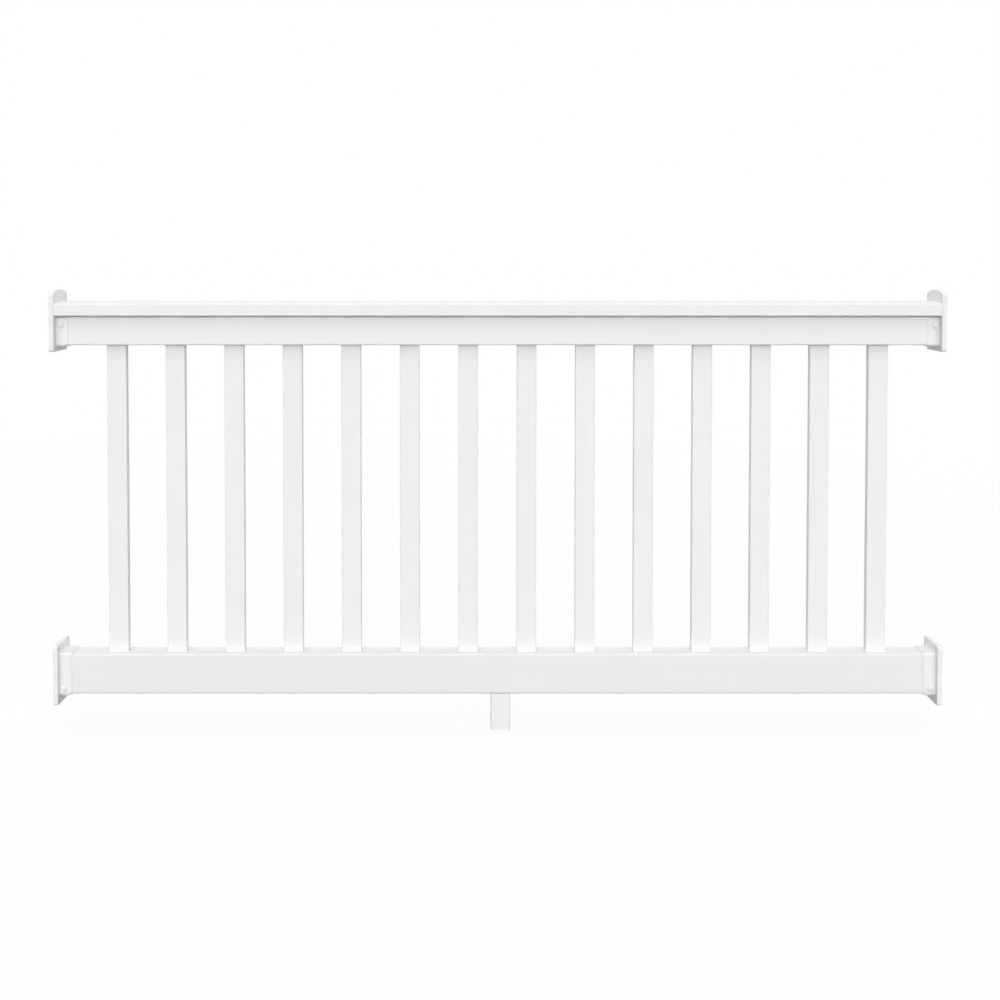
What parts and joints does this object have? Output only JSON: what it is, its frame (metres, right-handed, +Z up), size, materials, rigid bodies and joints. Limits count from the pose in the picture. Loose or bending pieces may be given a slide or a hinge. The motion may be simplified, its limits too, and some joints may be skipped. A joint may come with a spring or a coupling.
{
  "type": "vinyl railing section",
  "caption": "White vinyl railing section: T-shaped top rail and box bottom rail joined by slim upright balusters, with a flanged bracket at each rail end and a foot block at mid-span.",
  "frame": {"origin": "centre of the lower left bracket's flange, on the face that goes against the post", "axes": "+X along the rails to the other post, +Y to the back, +Z up"},
  "size_m": [1.7272, 0.09, 0.862],
  "materials": {
    "rail_vinyl": "satin",
    "baluster_vinyl": "satin",
    "bracket_vinyl": "satin",
    "foot_vinyl": "satin"
  },
  "bodies": {
    "root": {"baluster_01": "baluster_vinyl", "baluster_02": "baluster_vinyl", "baluster_03": "baluster_vinyl", "baluster_04": "baluster_vinyl", "baluster_05": "baluster_vinyl", "baluster_06": "baluster_vinyl", "baluster_07": "baluster_vinyl", "baluster_08": "baluster_vinyl", "baluster_09": "baluster_vinyl", "baluster_10": "baluster_vinyl", "baluster_11": "baluster_vinyl", "baluster_12": "baluster_vinyl", "baluster_13": "baluster_vinyl", "baluster_14": "baluster_vinyl", "bottom_rail": "rail_vinyl", "bracket_lower_left": "bracket_vinyl", "bracket_lower_right": "bracket_vinyl", "bracket_upper_left": "bracket_vinyl", "bracket_upper_right": "bracket_vinyl", "foot_block": "foot_vinyl", "top_rail": "rail_vinyl"}
  },
  "joints": []
}
